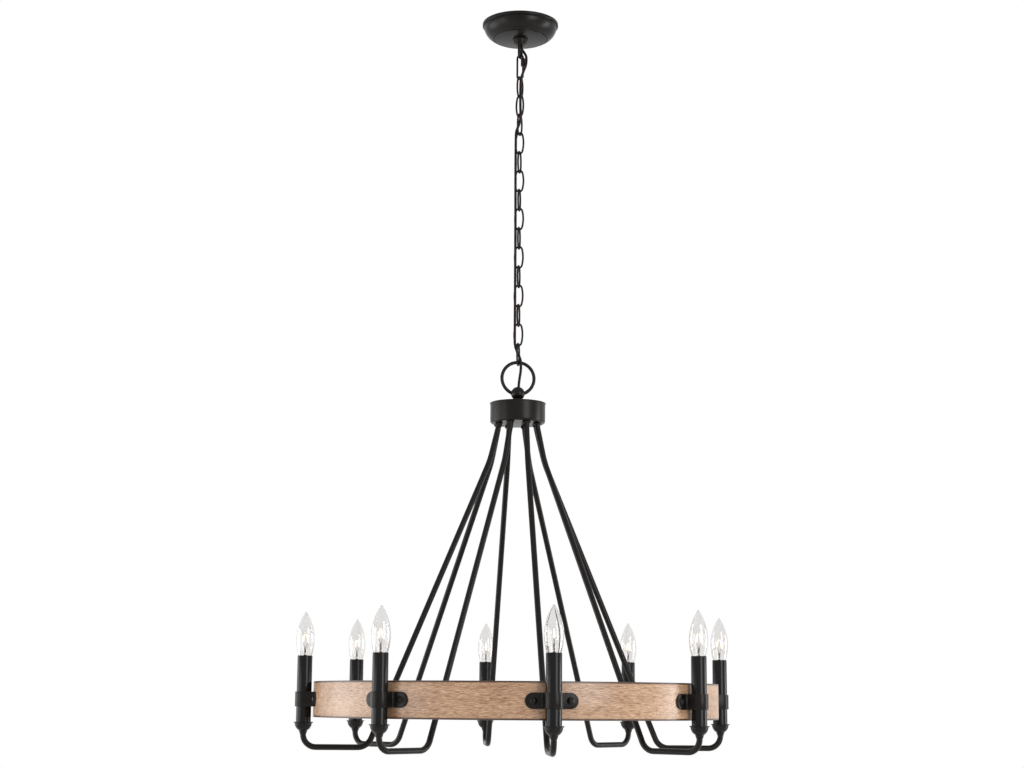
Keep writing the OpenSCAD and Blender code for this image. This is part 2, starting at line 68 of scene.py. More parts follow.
# ---------------------------------------------------------------- the cord
# A round two-core supply cord in a dark brown PVC jacket, extruded smooth. It
# leaves the loop's wire way, runs down the chain and goes into the ball. It is
# drawn in stretches, one for each joint of the chain that it bends over.
cord_d, cord_sides = 4.8e-3, 16
link_pitch = 35.8  # millimetres from one link of the chain to the next
cord_route = [Vector(p) / 1000 for p in (
    (0, 0, -36), (0.2, -0.1, -41), (1.3, -0.8, -45), (3.7, -2.2, -50), (6.9, -4.3, -56),
    (9.8, -6.9, -63), (10.3, -8.1, -71), (9.4, -8.9, -80), (7, -9.1, -88),
    (4, -8.3, -96), (1.6, -7.3, -104), (0.2, -6.8, -113), (-0.2, -6.7, -126),
    (-0.2, -6.7, -140), (-0.2, -6.7, -154), (0.1, -6.8, -168), (0.3, -6.8, -176.5),
    (0.2, -4.9, -184), (-0.8, -2.7, -190), (-2.4, -1.3, -196), (-4.7, -0.9, -201.5),
    (-6.6, -1.1, -208.5), (-7.2, -1.4, -219), (-7.4, -1.7, -240), (-7.5, -2, -266),
    (-7.5, -2.3, -298), (-7.3, -2.5, -334), (-7.1, -2.6, -370), (-7, -2.6, -406),
    (-6.9, -2.6, -442), (-6.9, -2.6, -478), (-6.8, -2.6, -514), (-6.8, -2.6, -550),
    (-6.8, -2.6, -582), (-6.7, -2.6, -599), (-6.1, -2.5, -607), (-4, -1.9, -614),
    (-1.2, -2.3, -621), (1.7, -3.8, -628), (3.5, -5.7, -635), (4.1, -6.6, -644),
    (3.6, -6.8, -655), (1.8, -6.3, -668), (0.5, -5.9, -680), (0, -5.8, -690))]


def colour(code):
    """The linear colour of an sRGB hex code."""
    parts = [int(code[i:i + 2], 16) / 255 for i in (1, 3, 5)]
    return [p / 12.92 if p <= 0.04045 else ((p + 0.055) / 1.055) ** 2.4 for p in parts] + [1]


def add(mat, kind, inputs=(), **settings):
    """Adds a node. An input is a plain value, or (node, output) for a link."""
    made = mat.node_tree.nodes.new("ShaderNode" + kind)
    for name, value in settings.items():
        setattr(made, name, value)
    for name, value in dict(inputs).items():
        if isinstance(value, tuple) and hasattr(value[0], "outputs"):
            mat.node_tree.links.new(value[0].outputs[value[1]], made.inputs[name])
        else:
            made.inputs[name].default_value = value
    return made


def finish_of(name, **surface):
    """A new material, its surface shader with the plain values given, and where a point is."""
    mat = bpy.data.materials.new(name)
    mat.use_nodes = True
    shader = mat.node_tree.nodes["Principled BSDF"]
    for key, value in surface.items():
        shader.inputs[key.replace("_", " ")].default_value = value
    return mat, shader, add(mat, "TexCoord")


def wire(mat, source, output, shader, name):
    """Links a node's output to a socket of the surface shader."""
    mat.node_tree.links.new(source.outputs[output], shader.inputs[name])


# Extruded PVC is smooth with a slow waviness, and its brown varies a little
# where the jacket has been handled.
pvc_jacket, shader, place = finish_of("brown_pvc_jacket", Roughness=0.38, Specular_IOR_Level=0.14)
mottle = add(pvc_jacket, "TexNoise", {"Vector": (place, "Object"), "Scale": 1 / 0.014, "Detail": 3})
tone = add(pvc_jacket, "ValToRGB", {"Fac": (mottle, "Fac")})
tone.color_ramp.elements[0].position, tone.color_ramp.elements[0].color = 0.35, colour("#0d0706")
tone.color_ramp.elements[1].position, tone.color_ramp.elements[1].color = 0.7, colour("#24140f")
wire(pvc_jacket, tone, "Color", shader, "Base Color")
ripple = add(pvc_jacket, "Bump", {"Height": (mottle, "Fac"), "Strength": 0.25, "Distance": 2e-4})
wire(pvc_jacket, ripple, "Normal", shader, "Normal")


def through(points, steps):
    """More points on a smooth curve through the given ones."""
    made = []
    for i in range(len(points) - 1):
        a, b, c, d = (points[max(0, min(len(points) - 1, i + k))] for k in (-1, 0, 1, 2))
        for k in range(steps):
            t = k / steps
            made.append(0.5 * (2 * b + (c - a) * t + (2 * a - 5 * b + 4 * c - d) * t ** 2
                               + (3 * b - a - 3 * c + d) * t ** 3))
    return made + [points[-1]]


cord_line = through(cord_route, 6)
side = Vector((1, 0, 0))
round_angles = [k * math.tau / cord_sides for k in range(cord_sides)]
cord_rings = []
for i, point in enumerate(cord_line):
    along = (cord_line[min(i + 1, len(cord_line) - 1)] - cord_line[max(i - 1, 0)]).normalized()
    side = (side - along * side.dot(along)).normalized()
    other = along.cross(side)
    cord_rings.append([point + cord_d / 2 * (math.cos(a) * side + math.sin(a) * other)
                       for a in round_angles])
link_bodies = [f"link_{i:02d}" for i in range(1, 16)]
cord_bodies = ["ceiling_plate", "quick_link"] + link_bodies + ["ring", "fixture"]
link_mid = [-0.1217 - link_pitch / 1000 * i for i in range(14)]
cord_cuts = [-0.036, -0.0825] + link_mid + [-0.618, -0.650, -0.690]
cut_at = [min(range(len(cord_line)), key=lambda i: abs(cord_line[i].z - z)) for z in cord_cuts]
for k in range(len(cord_bodies) - 1):
    first, last = cut_at[k], cut_at[k + 1]
    rings = cord_rings[first:last + 1]
    last_ring = (len(rings) - 1) * cord_sides
    skin = [(r + j, r + (j + 1) % cord_sides, r + cord_sides + (j + 1) % cord_sides, r + cord_sides + j)
            for r in range(0, last_ring, cord_sides) for j in range(cord_sides)]
    caps = [tuple(range(cord_sides - 1, -1, -1)), tuple(range(last_ring, last_ring + cord_sides))]
    mesh = bpy.data.meshes.new(f"cord_{k + 1:02d}")
    mesh.from_pydata([p for ring in rings for p in ring], [], skin + caps)
    stretch = bpy.data.objects.new(mesh.name, mesh)
    bpy.context.scene.collection.objects.link(stretch)
    for face in mesh.polygons:
        face.use_smooth = len(face.vertices) == 4
    mesh.materials.append(pvc_jacket)
    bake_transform(stretch)
    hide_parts("cord")

# ------------------------------------------------- crossbar, nipple and nuts
# A stamped steel bar with slots for the box screws, a threaded nipple and two
# hex nuts, all zinc plated in a barrel: bright, faintly crystalline and dull
# where the plating is thin.
zinc_plate, shader, place = finish_of("zinc_plated_steel", Metallic=1.0)
spangle = add(zinc_plate, "TexVoronoi", {"Vector": (place, "Object"), "Scale": 1 / 0.004})
cloud = add(zinc_plate, "TexNoise", {"Vector": (place, "Object"), "Scale": 1 / 0.02, "Detail": 4})
tone = add(zinc_plate, "ValToRGB", {"Fac": (cloud, "Fac")})
tone.color_ramp.elements[0].position, tone.color_ramp.elements[0].color = 0.3, colour("#9da3a8")
tone.color_ramp.elements[1].position, tone.color_ramp.elements[1].color = 0.7, colour("#c3c7ca")
wire(zinc_plate, tone, "Color", shader, "Base Color")
dull = add(zinc_plate, "MapRange", {"Value": (spangle, "Distance"), "To Min": 0.28, "To Max": 0.46})
wire(zinc_plate, dull, "Result", shader, "Roughness")
grain = add(zinc_plate, "Bump", {"Height": (spangle, "Distance"), "Strength": 0.15, "Distance": 1e-4})
wire(zinc_plate, grain, "Normal", shader, "Normal")

# Zinc dyed green marks the earth screw: a metallic green that clouds a little.
green_plate, shader, place = finish_of("green_plated_steel", Roughness=0.38, Metallic=0.6)
cloud = add(green_plate, "TexNoise", {"Vector": (place, "Object"), "Scale": 1 / 0.003, "Detail": 3})
tone = add(green_plate, "ValToRGB", {"Fac": (cloud, "Fac")})
tone.color_ramp.elements[0].color, tone.color_ramp.elements[1].color = colour("#1d5a2c"), colour("#3f9150")
wire(green_plate, tone, "Color", shader, "Base Color")


def coat(node, mat):
    """A CAD node keeps its shape and gets its finish."""
    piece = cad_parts[node]
    piece.data.materials.clear()
    piece.data.materials.append(mat)


for node in ("mounting_crossbar", "threaded_nipple", "nipple_locknuts", "hub_nut"):
    coat(node, zinc_plate)
coat("ground_screw", green_plate)

# ------------------------------------------------------------------ canopy
# A deep-drawn steel cover, spun to shape: a round lip, a crease, a full bowl
# and a flat disc that stands a step under it, powder coated satin black.

# Powder flows out to a fine orange peel, which softens every highlight.
black_coat, shader, place = finish_of("black_powder_coat_on_steel", Specular_IOR_Level=0.155)
peel = add(black_coat, "TexNoise", {"Vector": (place, "Object"), "Scale": 1 / 0.0016, "Detail": 2})
cloud = add(black_coat, "TexNoise", {"Vector": (place, "Object"), "Scale": 1 / 0.03, "Detail": 4})
tone = add(black_coat, "ValToRGB", {"Fac": (cloud, "Fac")})
tone.color_ramp.elements[0].position, tone.color_ramp.elements[0].color = 0.3, colour("#0d0b0a")
tone.color_ramp.elements[1].position, tone.color_ramp.elements[1].color = 0.75, colour("#181412")
wire(black_coat, tone, "Color", shader, "Base Color")
matt = add(black_coat, "MapRange", {"Value": (cloud, "Fac"), "To Min": 0.24, "To Max": 0.34})
wire(black_coat, matt, "Result", shader, "Roughness")
skin = add(black_coat, "Bump", {"Height": (peel, "Fac"), "Strength": 0.12, "Distance": 8e-5})
wire(black_coat, skin, "Normal", shader, "Normal")


def turned(name, outline, steps=96, closed=True, about=(0, 0)):
    """A turned piece. Its half outline, (radius, height) in millimetres, goes round the upright
    line through about; an open outline starts and ends on that line."""
    bpy.ops.object.select_all(action="DESELECT")
    bpy.ops.mesh.primitive_circle_add(vertices=len(outline), radius=0.01)
    piece = bpy.context.object
    piece.name = piece.data.name = name
    for vert, (r, z) in zip(piece.data.vertices, outline):
        vert.co = (about[0] + r / 1000, about[1], z / 1000)
    for edge in piece.data.edges:
        edge.select = set(edge.vertices) == {0, len(outline) - 1}
    for vert in piece.data.vertices:
        vert.select = False
    bpy.ops.object.mode_set(mode="EDIT")
    bpy.ops.mesh.select_mode(type="EDGE")
    if not closed:
        bpy.ops.mesh.delete(type="EDGE")
    bpy.ops.mesh.select_mode(type="VERT")
    bpy.ops.mesh.select_all(action="SELECT")
    bpy.ops.mesh.spin(steps=steps, angle=math.tau, center=(*about, 0), axis=(0, 0, 1))
    tidy_mesh()
    return piece


def tidy_mesh():
    """Merges what lies together, turns the faces outwards and leaves edit mode."""
    bpy.ops.mesh.select_all(action="SELECT")
    bpy.ops.mesh.remove_doubles(threshold=2e-6)
    bpy.ops.mesh.normals_make_consistent(inside=False)
    bpy.ops.object.mode_set(mode="OBJECT")
    bpy.ops.object.shade_smooth_by_angle(angle=math.radians(32))


def ease(piece, width, segments=2, angle=40):
    """Takes the sharpness off a piece's edges."""
    bpy.ops.object.select_all(action="DESELECT")
    piece.select_set(True)
    bpy.context.view_layer.objects.active = piece
    bevel = piece.modifiers.new("ease", "BEVEL")
    bevel.width, bevel.segments, bevel.limit_method = width, segments, "ANGLE"
    bevel.angle_limit = math.radians(angle)
    bpy.ops.object.modifier_apply(modifier=bevel.name)
    bpy.ops.object.shade_smooth_by_angle(angle=math.radians(32))


def arc(centre, radius, start, end, steps):
    """Points of an arc in an outline, in millimetres and degrees."""
    return [(centre[0] + radius * math.cos(math.radians(start + (end - start) * k / steps)),
             centre[1] + radius * math.sin(math.radians(start + (end - start) * k / steps)))
            for k in range(steps + 1)]


def hang(piece, body, node, mat):
    """Gives a piece its finish and its place on a body, in place of its CAD node."""
    piece.data.materials.clear()
    piece.data.materials.append(mat)
    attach(piece, body)
    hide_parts(node)


bowl = (40.5, -2.4)
disc_and_step = [(10.6, -29), (47.6, -29), (48.15, -28.8), (48.4, -28.4), (48.5, -27.2), (48.9, -26.8),
                 (49.6, -26.9)]
crease_and_lip = [(67.1, -6.2), (66.8, -5.4), (67.2, -4.9), (67.9, -5), (68.8, -5), (69.5, -4.6),
                  (69.9, -4), (70, -3.2), (70, 0), (68.8, 0), (68.8, -3), (67.5, -3.7), (66, -4.2)]
inner_step = [(48.6, -25.6), (47.5, -25.8), (47.2, -26.4), (47.1, -27.8), (10.6, -27.8)]
cover = turned("canopy_cover", disc_and_step + arc(bowl, 27.1, -69, -10, 30) + crease_and_lip
               + arc(bowl, 25.9, -8, -68, 24) + inner_step, steps=160)
hang(cover, "canopy", "canopy", black_coat)

# ---------------------------------------------------------- canopy's collar
# A ring nut, turned from steel, that holds the canopy up: a round flange, and
# a slight taper under it that fingers can turn.
collar = turned("collar_nut", [
    (10.3, -29), (13.9, -29), (14.2, -29.4), (14.2, -30.5), (13.8, -31), (12.9, -31.6), (12.4, -33),
    (12.2, -36.4), (11.8, -37), (10.3, -37)])
hang(collar, "collar", "canopy_collar", black_coat)

# ------------------------------------------------------------ loop and body
# The body is turned and drilled for the cord. Its stirrup is 5.2 mm wire bent
# to a U and brazed in, and hangs the chain.
body = turned("loop_body", [
    (4.95, -18), (9.6, -18), (10, -18.4), (10, -37.8), (9.6, -39), (8.6, -40), (3.4, -40), (3.2, -39.6),
    (3.2, -26.5), (4.95, -26.5)])


def rod(name, start, radius, sides, moves, closed=False):
    """A rod that starts as an upright ring at start and grows by moves: a step (x, y, z), or a turn
    (centre, axis, degrees, steps) by the right hand. Millimetres; the ends are closed by faces."""
    bpy.ops.object.select_all(action="DESELECT")
    bpy.ops.mesh.primitive_circle_add(vertices=sides, radius=radius / 1000, location=Vector(start) / 1000)
    piece = bpy.context.object
    piece.name = piece.data.name = name
    bpy.ops.object.transform_apply(location=True, rotation=True, scale=True)
    bpy.ops.object.mode_set(mode="EDIT")
    bpy.ops.mesh.select_all(action="SELECT")
    if not closed:
        bpy.ops.mesh.edge_face_add()
    for move in moves:
        if len(move) == 3:
            bpy.ops.mesh.extrude_region_move(TRANSFORM_OT_translate={"value": Vector(move) / 1000})
        else:
            centre, axis, degrees, steps = move
            bpy.ops.mesh.spin(steps=steps, angle=math.radians(degrees), center=Vector(centre) / 1000,
                              axis=-Vector(axis))
    tidy_mesh()
    return piece


stirrup = rod("stirrup", (-7.2, 0, -39), 2.6, 24, [
    (0, 0, -17.8), ((0, 0, -56.8), (0, -1, 0), 180, 28), (0, 0, 17.8)])
stirrup.data.transform(Matrix.Rotation(math.radians(63), 4, "Z"))


def join(name, pieces):
    """Several pieces become one."""
    bpy.ops.object.select_all(action="DESELECT")
    for piece in pieces:
        piece.select_set(True)
    bpy.context.view_layer.objects.active = pieces[0]
    bpy.ops.object.join()
    joined = bpy.context.object
    joined.name = joined.data.name = name
    return joined


hang(join("canopy_loop_forged", [body, stirrup]), "ceiling_plate", "canopy_loop", black_coat)

# -------------------------------------------------------------- quick link
# A straight-sided link of 3.6 mm wire, open on one leg, where a hex sleeve nut
# screws across the gap.
leg_x, quick_turn = 5.7, math.radians(-34)
quick = rod("quick_link_wire", (leg_x, 0, -83), 1.8, 20, [
    (0, 0, -17), ((0, 0, -100), (0, 1, 0), 180, 20),
    (0, 0, 35), ((0, 0, -65), (0, 1, 0), 180, 20), (0, 0, -5)])
quick.data.transform(Matrix.Rotation(quick_turn, 4, "Z"))
hang(quick, "quick_link", "quick_link", black_coat)


def hex_nut(name, foot, across, height, chamfer=0.5):
    """A hex bar cut to length over the middle of its foot, with turned chamfers on both ends."""
    bpy.ops.object.select_all(action="DESELECT")
    bpy.ops.mesh.primitive_cylinder_add(
        vertices=6, radius=across / math.sqrt(3) / 1000, depth=(height - 2 * chamfer) / 1000,
        location=(foot[0] / 1000, foot[1] / 1000, (foot[2] + height / 2) / 1000))
    piece = bpy.context.object
    piece.name = piece.data.name = name
    bpy.ops.object.transform_apply(location=True, rotation=True, scale=True)
    for face in piece.data.polygons:
        face.select = abs(face.normal.z) > 0.9
    bpy.ops.object.mode_set(mode="EDIT")
    bpy.ops.mesh.select_mode(type="FACE")
    bpy.ops.mesh.inset(thickness=chamfer * 1.2 / 1000, depth=chamfer / 1000, use_individual=True)
    tidy_mesh()
    return piece


leg_at = (leg_x * math.cos(quick_turn), leg_x * math.sin(quick_turn), -82)
sleeve_nut = hex_nut("sleeve_nut", leg_at, 6.6, 16, 0.7)
ease(sleeve_nut, 2e-4)
hang(sleeve_nut, "quick_link", "quick_link_nut", black_coat)

# ------------------------------------------------------------------- chain
# Lighting chain of 3.5 mm wire, bent to ovals with the joint in the middle of
# one side, and coated. Each link hangs across the one above it.
half_w, end_r, end_z = 7.75, 6.0, 13.8
first_link = -121.65
side_r = (half_w ** 2 + end_z ** 2 - end_r ** 2) / (2 * (half_w - end_r))
half = math.degrees(math.asin(end_z / (side_r - end_r)))
shut = math.degrees(0.12 / side_r)
link = rod("link", (half_w, 0, 0), 1.75, 20, [
    ((half_w - side_r, 0, 0), (0, -1, 0), half - shut, 9),
    ((0, 0, end_z), (0, -1, 0), 180 - 2 * half, 14),
    ((side_r - half_w, 0, 0), (0, -1, 0), 2 * half, 18),
    ((0, 0, -end_z), (0, -1, 0), 180 - 2 * half, 14),
    ((half_w - side_r, 0, 0), (0, -1, 0), half - shut, 9)])
for i, link_body in enumerate(link_bodies):
    degrees = (-90 if i % 2 else 0) + 41 + 25 * min(1, i / 5)  # the top of the chain twists by 25
    piece = bpy.data.objects.new(link_body + "_oval", link.data.copy())
    bpy.context.scene.collection.objects.link(piece)
    piece.data.name = piece.name
    piece.data.transform(Matrix.Translation((0, 0, (first_link - link_pitch * i) / 1000))
                         @ Matrix.Rotation(math.radians(degrees), 4, "Z"))
    hang(piece, link_body, "chain_" + link_body, black_coat)
bpy.data.objects.remove(link)

# ------------------------------------------------------------ hanging ring
# A ring of 6 mm steel rod, bent round and butt welded, with the weld ground
# nearly flush, and coated with the rest.
ring_r, ring_z, weld_turn = 29, -666.6, math.radians(-60)
weld_reach, weld_height = 0.0045, 2.5e-4
ring = rod("ring_of_rod", (ring_r, 0, ring_z), 3, 32, [((0, 0, ring_z), (0, -1, 0), 360, 144)], closed=True)
weld_at = Vector((ring_r * math.cos(weld_turn), 0, ring_z + ring_r * math.sin(weld_turn))) / 1000
for vert in ring.data.vertices:
    near = max(0, 1 - (vert.co - weld_at).length / weld_reach)
    vert.co += vert.normal * weld_height * near
hang(ring, "ring", "hanging_ring", black_coat)

# ---------------------------------------------------- ball, neck and stem
# Turned in one piece: a ball drilled across for the ring and down for the
# cord, a waist, and a stem that is nutted through the lid.
ball_r, ball_z = 12.4, -694.3
neck_and_stem = [(8.1, -704.6), (8.5, -706.6), (9.2, -708.4), (10.6, -710.6), (11.4, -711.6),
                 (11.5, -711.8), (6.5, -711.8), (6.5, -722.8), (0, -722.8)]
ball = turned("ball_and_neck", [(0, ball_z + ball_r)] + arc((0, ball_z), ball_r, 88, -52, 32)
              + neck_and_stem, closed=False)


def drill(piece, radius, length, centre, rotation=(0, 0, 0)):
    """Cuts a round hole."""
    bpy.ops.object.select_all(action="DESELECT")
    bpy.ops.mesh.primitive_cylinder_add(vertices=64, radius=radius / 1000, depth=length / 1000,
                                        location=Vector(centre) / 1000, rotation=rotation)
    drill_bit = bpy.context.object
    cut = piece.modifiers.new("hole", "BOOLEAN")
    cut.object, cut.operation, cut.solver = drill_bit, "DIFFERENCE", "EXACT"
    bpy.context.view_layer.objects.active = piece
    bpy.ops.object.modifier_apply(modifier=cut.name)
    bpy.data.objects.remove(drill_bit)
    piece.select_set(True)
    bpy.ops.object.shade_smooth_by_angle(angle=math.radians(32))


drill(ball, 4.7, 40, (0, 0, ball_z), (0, math.pi / 2, 0))
drill(ball, 2.9, 18, (0, -5.8, ball_z + 9))
hang(ball, "fixture", "ring_ball", black_coat)

# --------------------------------------------------------------------- hub
# A spun drum with a rolled lower corner, and a lid whose lip stands out over
# it. The arms come up through the drum's floor.
lid = turned("hub_lid_spun", [
    (6.6, -711.8), (49.2, -711.8), (49.8, -712.1), (50.1, -712.7), (49.9, -713.4), (49.1, -713.9),
    (49.1, -717.8), (48.6, -717.8), (48.6, -713.3), (6.6, -713.3)], steps=160)
corner = (44, -743.8)
pan = turned("hub_drum_spun", [(0, -747.25), (44, -747.25)] + arc(corner, 3.5, -85, -5, 8)
             + [(47.5, -714), (49, -714)] + arc(corner, 5, 0, -90, 12) + [(0, -748.8)],
             steps=160, closed=False)
hang(lid, "fixture", "hub_lid", black_coat)
hang(pan, "fixture", "hub_pan", black_coat)

# Two twist-on wire caps inside the drum, moulded in orange polypropylene, which
# shows faint paler flow marks.
moulded_orange, shader, place = finish_of("moulded_polypropylene", Roughness=0.42, IOR=1.49)
flow = add(moulded_orange, "TexNoise", {"Vector": (place, "Object"), "Scale": 1 / 0.006, "Detail": 2})
tone = add(moulded_orange, "ValToRGB", {"Fac": (flow, "Fac")})
tone.color_ramp.elements[0].color, tone.color_ramp.elements[1].color = colour("#b96a22"), colour("#d0832f")
wire(moulded_orange, tone, "Color", shader, "Base Color")
coat("wire_connectors", moulded_orange)

# -------------------------------------------------------------------- arms
# Steel tube of 10 mm, cut to one length and bent on a mandrel: down out of the
# hub past its middle to one side, out inside the band, level, up into the cup.
candle_r = 365.0
root_x, root_y = 35.5, 10
corners = [Vector((root_x, root_y, -741.8)), Vector((root_x, root_y, -754.8))]
for depth, lean in ((62.8, 13.7), (496.2, 22.5)):
    corners.append(corners[-1] + Vector((depth * math.tan(math.radians(lean)), 0, -depth)))
corners += [Vector((candle_r, 0, -1313.8)), Vector((candle_r, 0, -1279.3))]
moves, at = [], corners[0]
for i, (bend, steps) in enumerate(((30, 6), (175, 8), (25, 16), (22, 18))):
    before = (corners[i + 1] - corners[i]).normalized()
    after = (corners[i + 2] - corners[i + 1]).normalized()
    axis, angle = before.cross(after).normalized(), before.angle(after)
    start = corners[i + 1] - before * bend * math.tan(angle / 2)
    moves += [tuple(start - at), (start + axis.cross(before) * bend, axis, math.degrees(angle), steps)]
    at = corners[i + 1] + after * bend * math.tan(angle / 2)
tube = rod("arm", corners[0], 5, 28, moves + [tuple(corners[-1] - at)])
nuts = [hex_nut("nut", foot, across, 3.5) for foot, across in (
    ((root_x, root_y, -752.3), 12.5), ((root_x, root_y, -747.3), 12.5), ((candle_r, 0, -1283.8), 12))]


def around(name, part, count=8, joined=True):
    """A part at +X is repeated round the wheel, the first at -Y, and each has its own mesh."""
    made = []
    for i in range(count):
        copy = bpy.data.objects.new(f"{name}_{i + 1}", part.data.copy())
        bpy.context.scene.collection.objects.link(copy)
        copy.data.name = copy.name
        copy.data.transform(Matrix.Rotation(math.radians(i * 360 / count - 90), 4, "Z"))
        made.append(copy)
    bpy.data.objects.remove(part)
    return join(name, made) if joined else made


for i, piece in enumerate(around("arm_tube", tube, joined=False)):
    hang(piece, "fixture", f"arm_{i + 1}", black_coat)
hang(around("arm_lock_nuts", join("nut", nuts)), "fixture", "arm_nuts", black_coat)

# ------------------------------------------------------------- wooden band
# An oak lath, steamed and bent to a ring, brushed along its grain, stained a
# light tan and sealed satin, with its long edges scorched dark.
band_mid = -1233.8
oak, shader, place = finish_of("brushed_tan_oak", IOR=1.5)
where = add(oak, "SeparateXYZ", {"Vector": (place, "Object")})
plan = add(oak, "CombineXYZ", {"X": (where, "X"), "Y": (where, "Y")})
radius = add(oak, "VectorMath", {0: (plan, "Vector")}, operation="LENGTH")
across = add(oak, "Math", {0: (where, "Z"), 1: (radius, "Value")}, operation="ADD")
fine = add(oak, "CombineXYZ", {"X": (where, "X"), "Y": (where, "Y"), "Z": (across, "Value")})
# Pores run about 10 mm along the grain and stand about 1 mm apart across it.
stretched = add(oak, "Mapping", {"Vector": (fine, "Vector"), "Scale": (95, 95, 1150)})
fibre = add(oak, "TexNoise", {"Vector": (stretched, "Vector"), "Scale": 1.0, "Detail": 3, "Roughness": 0.7})
broad = add(oak, "Mapping", {"Vector": (fine, "Vector"), "Scale": (9, 9, 70)})
figure = add(oak, "TexNoise", {"Vector": (broad, "Vector"), "Scale": 1.0, "Detail": 3, "Distortion": 0.6})
light_dark = add(oak, "Mix", {"Factor": 0.2, "A": (fibre, "Fac"), "B": (figure, "Fac")})
tone = add(oak, "ValToRGB", {"Fac": (light_dark, "Result")})
tone.color_ramp.elements[0].position, tone.color_ramp.elements[0].color = 0.4, colour("#835b40")
tone.color_ramp.elements[1].position, tone.color_ramp.elements[1].color = 0.62, colour("#ceac8d")
middle = tone.color_ramp.elements.new(0.5)
middle.color = colour("#b08c6e")
height = add(oak, "Math", {0: (where, "Z"), 1: -band_mid / 1000}, operation="ADD")
from_middle = add(oak, "Math", {0: (height, "Value")}, operation="ABSOLUTE")
ragged = add(oak, "Math", {0: (fibre, "Fac"), 1: 0.0022, 2: (from_middle, "Value")},
             operation="MULTIPLY_ADD")
scorch = add(oak, "MapRange", {"Value": (ragged, "Value"), "From Min": 0.0275, "From Max": 0.0292})
shown = add(oak, "Mix", {"Factor": (scorch, "Result"), "A": (tone, "Color"), "B": colour("#3b2417")},
            data_type="RGBA")
wire(oak, shown, "Result", shader, "Base Color")
sealed = add(oak, "MapRange", {"Value": (fibre, "Fac"), "To Min": 0.22, "To Max": 0.38})
wire(oak, sealed, "Result", shader, "Roughness")
pores = add(oak, "Bump", {"Height": (fibre, "Fac"), "Strength": 0.25, "Distance": 2e-4})
wire(oak, pores, "Normal", shader, "Normal")
band = turned("oak_band", [
    (341, -1262.9), (341.3, -1263.5), (341.9, -1263.8), (348.1, -1263.8), (348.7, -1263.5),
    (349, -1262.9), (349, -1204.7), (348.7, -1204.1), (348.1, -1203.8), (341.9, -1203.8),
    (341.3, -1204.1), (341, -1204.7)], steps=288)
hang(band, "fixture", "wood_ring", oak)

# ------------------------------------------------------------------ straps
# Strip steel 25 by 2 mm, pressed to an omega over each sleeve, with rounded
# ends that follow the band and are screwed to it.
skin_r, strap_t, strap_w, bulge = 349.05, 2.0, 25, 13.1
tab = math.degrees(math.asin(42 / skin_r))
knuckle_y = bulge + strap_t + 2
flat = arc((0, 0), skin_r + strap_t / 2, -tab, -math.degrees(math.asin(knuckle_y / skin_r)), 10)
flat += [(skin_r + 1.6, -bulge - 2.2), (skin_r + 2.6, -bulge - 1.3), (skin_r + 4.2, -bulge - 1)]
path = flat + arc((candle_r, 0), bulge + strap_t / 2, -90, 90, 28)
path += [(x, -y) for x, y in reversed(flat)]
bpy.ops.object.select_all(action="DESELECT")
bpy.ops.mesh.primitive_circle_add(vertices=len(path), radius=0.01)
strap = bpy.context.object
for vert, (x, y) in zip(strap.data.vertices, path):
    vert.co = (x / 1000, y / 1000, (band_mid - strap_w / 2) / 1000)
bpy.ops.object.mode_set(mode="EDIT")
bpy.ops.mesh.select_mode(type="EDGE")
bpy.ops.mesh.select_all(action="DESELECT")
bpy.ops.object.mode_set(mode="OBJECT")
for edge in strap.data.edges:
    edge.select = set(edge.vertices) == {0, len(path) - 1}
bpy.ops.object.mode_set(mode="EDIT")
bpy.ops.mesh.delete(type="EDGE")
bpy.ops.mesh.select_all(action="SELECT")
bpy.ops.mesh.extrude_region_move(TRANSFORM_OT_translate={"value": (0, 0, strap_w / 1000)})
bpy.ops.mesh.select_all(action="SELECT")
bpy.ops.mesh.normals_make_consistent(inside=False)
bpy.ops.object.mode_set(mode="OBJECT")
plate = strap.modifiers.new("plate", "SOLIDIFY")
plate.thickness, plate.offset = strap_t / 1000, 0
bpy.ops.object.modifier_apply(modifier=plate.name)
bpy.ops.object.select_all(action="DESELECT")
bpy.ops.mesh.primitive_cylinder_add(
    vertices=96, radius=strap_w / 2000, depth=0.08, location=(candle_r / 1000, 0, band_mid / 1000),
    rotation=(0, math.pi / 2, 0))
punch = bpy.context.object
bpy.ops.object.transform_apply(location=True, rotation=True, scale=True)
for vert in punch.data.vertices:
    vert.co.y += math.copysign(0.0295, vert.co.y - 1e-5)  # a stadium, 84 mm from end to end
trim = strap.modifiers.new("trim", "BOOLEAN")
trim.object, trim.operation, trim.solver = punch, "INTERSECT", "EXACT"
bpy.context.view_layer.objects.active = strap
bpy.ops.object.modifier_apply(modifier=trim.name)
bpy.data.objects.remove(punch)
ease(strap, 4e-4, angle=50)
hang(around("strap_omega", strap), "fixture", "sleeve_straps", black_coat)

# ------------------------------------------------------------ strap screws
# Steel wood screws with a cold-headed wide dome, driven through the strap's
# tabs into the band and coated with the rest.
screw = turned("screw", [
    (0, 3.2), (0.9, 3.15), (2.4, 2.75), (3.8, 2.0), (5, 1.05), (5.8, 0.35), (6, 0.12), (5.9, 0),
    (2, 0), (2, -9), (0, -9)], steps=40, closed=False)
seat = math.sqrt((skin_r + strap_t + 0.05) ** 2 - 23 ** 2)
screws = []
for y in (-29, 29):
    copy = bpy.data.objects.new("screw", screw.data.copy())
    bpy.context.scene.collection.objects.link(copy)
    copy.data.transform(Matrix.Translation((seat / 1000, y / 1000, band_mid / 1000))
                        @ Matrix.Rotation(math.pi / 2, 4, "Y"))
    screws.append(copy)
bpy.data.objects.remove(screw)
hang(around("strap_screw_heads", join("screw", screws)), "fixture", "strap_screws", black_coat)

